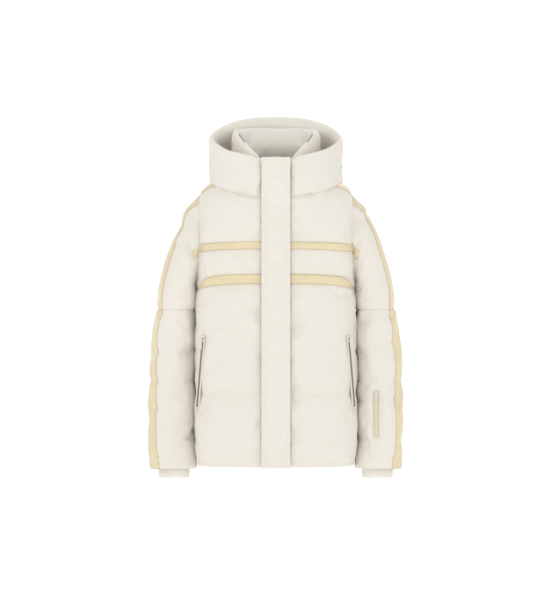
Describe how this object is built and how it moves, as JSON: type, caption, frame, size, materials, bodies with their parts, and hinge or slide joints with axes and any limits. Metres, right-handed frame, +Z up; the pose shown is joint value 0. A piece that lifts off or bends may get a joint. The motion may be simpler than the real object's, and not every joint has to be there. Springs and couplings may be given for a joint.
{
  "type": "ski jacket",
  "caption": "Padded hooded ski jacket with a covered front zip, quilted sleeves with satin tapes, zipped hand pockets, a forearm pass pocket and rib-knit inner cuffs.",
  "frame": {"origin": "centre of the hanger loop's round hole at the back of the neck, where a coat hook passes", "axes": "+X towards the wearer's left, +Y towards the back, +Z up; the front faces -Y"},
  "size_m": [0.6192, 0.3328, 0.8667],
  "materials": {
    "shell": "matt cream woven shell over padding",
    "tape": "champagne satin tape with a soft sheen",
    "lining": "smooth off-white taffeta",
    "rib_knit": "ribbed knit",
    "snap_metal": "dark lacquered press studs",
    "zip_metal": "cream lacquered zip sliders",
    "zip_chain": "moulded zip chain on woven tape",
    "pass_zip": "pale coated zip",
    "pull_cord_tape": "woven tape"
  },
  "bodies": {
    "body": {"back_panel": "shell", "side_panel_left": "shell", "side_panel_right": "shell", "hem_facing": "lining", "body_lining": "lining", "powder_skirt": "lining", "collar_back": "shell", "hanger_loop": "pull_cord_tape", "pocket_bag_left": "lining", "pocket_bag_right": "lining", "hand_pocket_zip_left": "zip_chain", "hand_pocket_zip_right": "zip_chain", "pocket_welt_left": "shell", "pocket_welt_right": "shell", "chest_tapes_left": "tape", "chest_tapes_right": "tape", "shoulder_tape_left": "tape", "shoulder_tape_right": "tape", "hood_base": "shell", "hood_studs": "snap_metal"},
    "front_left": {"front_edge_left": "shell", "collar_front_left": "shell", "hood_front_left": "shell", "main_zip_left": "zip_chain", "front_tapes_left": "tape", "flap_snap_sockets": "snap_metal"},
    "front_right": {"front_edge_right": "shell", "collar_front_right": "shell", "hood_front_right": "shell", "main_zip_right": "zip_chain", "front_tapes_right": "tape"},
    "storm_flap": {"storm_flap": "shell", "flap_snap_studs": "snap_metal"},
    "main_slider": {"main_slider": "zip_metal"},
    "main_pull": {"main_pull": "pull_cord_tape"},
    "hood": {"hood_crown": "shell", "hood_lining": "lining"},
    "pocket_slider_left": {"hand_slider_left": "zip_metal"},
    "pocket_pull_left": {"hand_pull_left": "pull_cord_tape"},
    "pocket_slider_right": {"hand_slider_right": "zip_metal"},
    "pocket_pull_right": {"hand_pull_right": "pull_cord_tape"},
    "upper_arm_left": {"sleeve_upper_left": "shell", "sleeve_tape_upper_left": "tape"},
    "upper_arm_right": {"sleeve_upper_right": "shell", "sleeve_tape_upper_right": "tape"},
    "forearm_left": {"sleeve_lower_left": "shell", "sleeve_tape_lower_left": "tape", "knit_cuff_left": "rib_knit", "pass_pocket_zip": "pass_zip", "pass_pocket_bag": "lining"},
    "forearm_right": {"sleeve_lower_right": "shell", "sleeve_tape_lower_right": "tape", "knit_cuff_right": "rib_knit"},
    "pass_slider": {"pass_slider": "zip_metal"},
    "pass_pull": {"pass_pull": "pull_cord_tape"}
  },
  "joints": [
    {"name": "front_right_open", "type": "hinge", "parent": "body", "child": "front_right", "pos_m": [-0.085, -0.1705, -0.33], "axis": [0, 0, -1], "range_deg": [0, 45]},
    {"name": "front_left_open", "type": "hinge", "parent": "body", "child": "front_left", "pos_m": [0.085, -0.1705, -0.33], "axis": [0, 0, 1], "range_deg": [0, 45]},
    {"name": "storm_flap_open", "type": "hinge", "parent": "front_right", "child": "storm_flap", "pos_m": [-0.035, -0.18, -0.33], "axis": [0, 0, -1], "range_deg": [0, 90]},
    {"name": "main_zip_slide", "type": "slide", "parent": "front_left", "child": "main_slider", "axis": [0, 0, -1], "range_m": [0, 0.69]},
    {"name": "main_pull_swing", "type": "hinge", "parent": "main_slider", "child": "main_pull", "pos_m": [0, -0.1773, 0.021], "axis": [-1, 0, 0], "range_deg": [0, 4]},
    {"name": "hood_lift", "type": "hinge", "parent": "body", "child": "hood", "pos_m": [0, -0.051, -0.02], "axis": [1, 0, 0], "range_deg": [0, 45]},
    {"name": "pocket_zip_slide_left", "type": "slide", "parent": "body", "child": "pocket_slider_left", "axis": [0.0843, 0.1321, -0.9876], "range_m": [0, 0.154]},
    {"name": "pocket_pull_swing_left", "type": "hinge", "parent": "pocket_slider_left", "child": "pocket_pull_left", "pos_m": [0.17669, -0.1359, -0.40562], "axis": [-0.6318, -0.7593, -0.1555], "range_deg": [0, 110]},
    {"name": "pocket_zip_slide_right", "type": "slide", "parent": "body", "child": "pocket_slider_right", "axis": [-0.0843, 0.1321, -0.9876], "range_m": [0, 0.154]},
    {"name": "pocket_pull_swing_right", "type": "hinge", "parent": "pocket_slider_right", "child": "pocket_pull_right", "pos_m": [-0.17669, -0.1359, -0.40562], "axis": [-0.6318, 0.7593, 0.1555], "range_deg": [0, 110]},
    {"name": "shoulder_left", "type": "hinge", "parent": "body", "child": "upper_arm_left", "pos_m": [0.165, -0.051, -0.09], "axis": [0, -1, 0], "range_deg": [0, 60]},
    {"name": "shoulder_right", "type": "hinge", "parent": "body", "child": "upper_arm_right", "pos_m": [-0.165, -0.051, -0.09], "axis": [0, 1, 0], "range_deg": [0, 60]},
    {"name": "elbow_left", "type": "hinge", "parent": "upper_arm_left", "child": "forearm_left", "pos_m": [0.241, -0.075, -0.336], "axis": [-1, 0, 0], "range_deg": [0, 70]},
    {"name": "elbow_right", "type": "hinge", "parent": "upper_arm_right", "child": "forearm_right", "pos_m": [-0.241, -0.075, -0.336], "axis": [-1, 0, 0], "range_deg": [0, 70]},
    {"name": "pass_zip_slide", "type": "slide", "parent": "forearm_left", "child": "pass_slider", "axis": [0, 0.0471, -0.9989], "range_m": [0, 0.098]},
    {"name": "pass_pull_swing", "type": "hinge", "parent": "pass_slider", "child": "pass_pull", "pos_m": [0.239, -0.11486, -0.5337], "axis": [-1, 0, 0], "range_deg": [0, 110]}
  ],
  "couplings": [
    {"joint": "front_left_open", "follows": "front_right_open", "ratio": 1}
  ]
}
